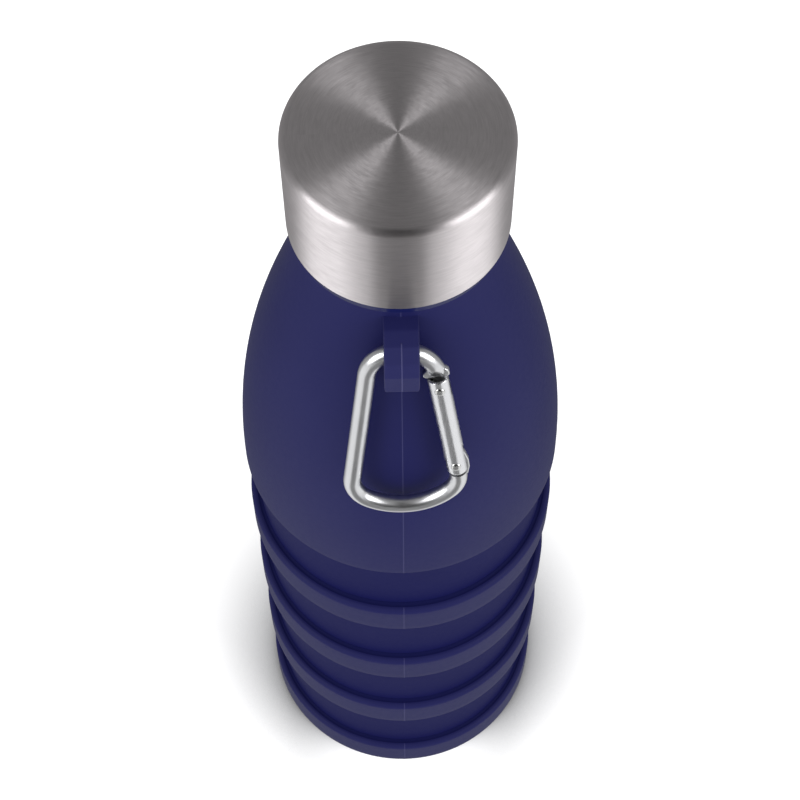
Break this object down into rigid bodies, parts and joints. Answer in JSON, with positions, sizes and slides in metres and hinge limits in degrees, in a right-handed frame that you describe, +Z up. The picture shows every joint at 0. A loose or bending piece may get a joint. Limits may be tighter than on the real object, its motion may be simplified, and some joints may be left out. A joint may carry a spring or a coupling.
{
  "type": "folding water bottle",
  "caption": "Collapsible silicone water bottle with fold rings, a steel screw cap and a snap hook on a moulded loop.",
  "frame": {"origin": "centre of the base, on the floor", "axes": "+Z up along the bottle; -Y towards the front, where the loop and the snap hook are; +X towards the hook's gate"},
  "size_m": [0.07, 0.0717, 0.241],
  "materials": {
    "silicone": "matt moulded silicone, navy blue",
    "silicone_wall": "matt moulded silicone, navy blue, thin wall",
    "seal_silicone": "translucent white silicone",
    "collar_plastic": "glossy navy polypropylene",
    "liner_plastic": "natural polypropylene",
    "cap_steel": "brushed stainless steel, round brushing on the top",
    "hook_aluminium": "bright polished",
    "pin_steel": "bright steel",
    "spring_steel": "spring wire"
  },
  "bodies": {
    "base": {"base_cup": "silicone", "bellows_web_4": "silicone_wall"},
    "ring_3": {"bellows_band_3": "silicone", "bellows_web_3": "silicone_wall"},
    "ring_2": {"bellows_band_2": "silicone", "bellows_web_2": "silicone_wall"},
    "ring_1": {"bellows_band_1": "silicone", "bellows_web_1": "silicone_wall"},
    "upper": {"shoulder": "silicone", "hanging_loop": "silicone", "neck_collar": "collar_plastic"},
    "seal": {"cap_gasket": "seal_silicone"},
    "cap": {"cap_liner": "liner_plastic", "cap_shell": "cap_steel"},
    "hook": {"carabiner_frame": "hook_aluminium", "gate_hinge_rivet": "pin_steel"},
    "gate": {"carabiner_gate": "hook_aluminium", "gate_latch_pin": "pin_steel", "gate_plunger": "pin_steel", "gate_spring": "spring_steel"}
  },
  "joints": [
    {"name": "fold_4", "type": "slide", "parent": "base", "child": "ring_3", "axis": [0, 0, -1], "range_m": [0, 0.02], "deforming": ["bellows_web_4"]},
    {"name": "fold_3", "type": "slide", "parent": "ring_3", "child": "ring_2", "axis": [0, 0, -1], "range_m": [0, 0.02], "deforming": ["bellows_web_3"]},
    {"name": "fold_2", "type": "slide", "parent": "ring_2", "child": "ring_1", "axis": [0, 0, -1], "range_m": [0, 0.02], "deforming": ["bellows_web_2"]},
    {"name": "fold_1", "type": "slide", "parent": "ring_1", "child": "upper", "axis": [0, 0, -1], "range_m": [0, 0.02], "deforming": ["bellows_web_1"]},
    {"name": "cap_rise", "type": "slide", "parent": "upper", "child": "seal", "axis": [0, 0, 1], "range_m": [0, 0.0201]},
    {"name": "cap_turn", "type": "hinge", "parent": "seal", "child": "cap", "pos_m": [0, 0, 0.2275], "axis": [0, 0, 1], "range_deg": [0, 1440]},
    {"name": "hook_swing", "type": "hinge", "parent": "upper", "child": "hook", "pos_m": [0, -0.02365, 0.20485], "axis": [-1, 0, 0], "range_deg": [0, 150]},
    {"name": "gate_swing", "type": "hinge", "parent": "hook", "child": "gate", "pos_m": [0.01032, -0.03152, 0.17626], "axis": [0, -0.9641, 0.2656], "range_deg": [0, 24], "stiffness_Nm_per_rad": 0.02, "springref_deg": -17.19}
  ],
  "couplings": [
    {"joint": "cap_rise", "follows": "cap_turn", "m_per_rad": 0.00079577}
  ]
}
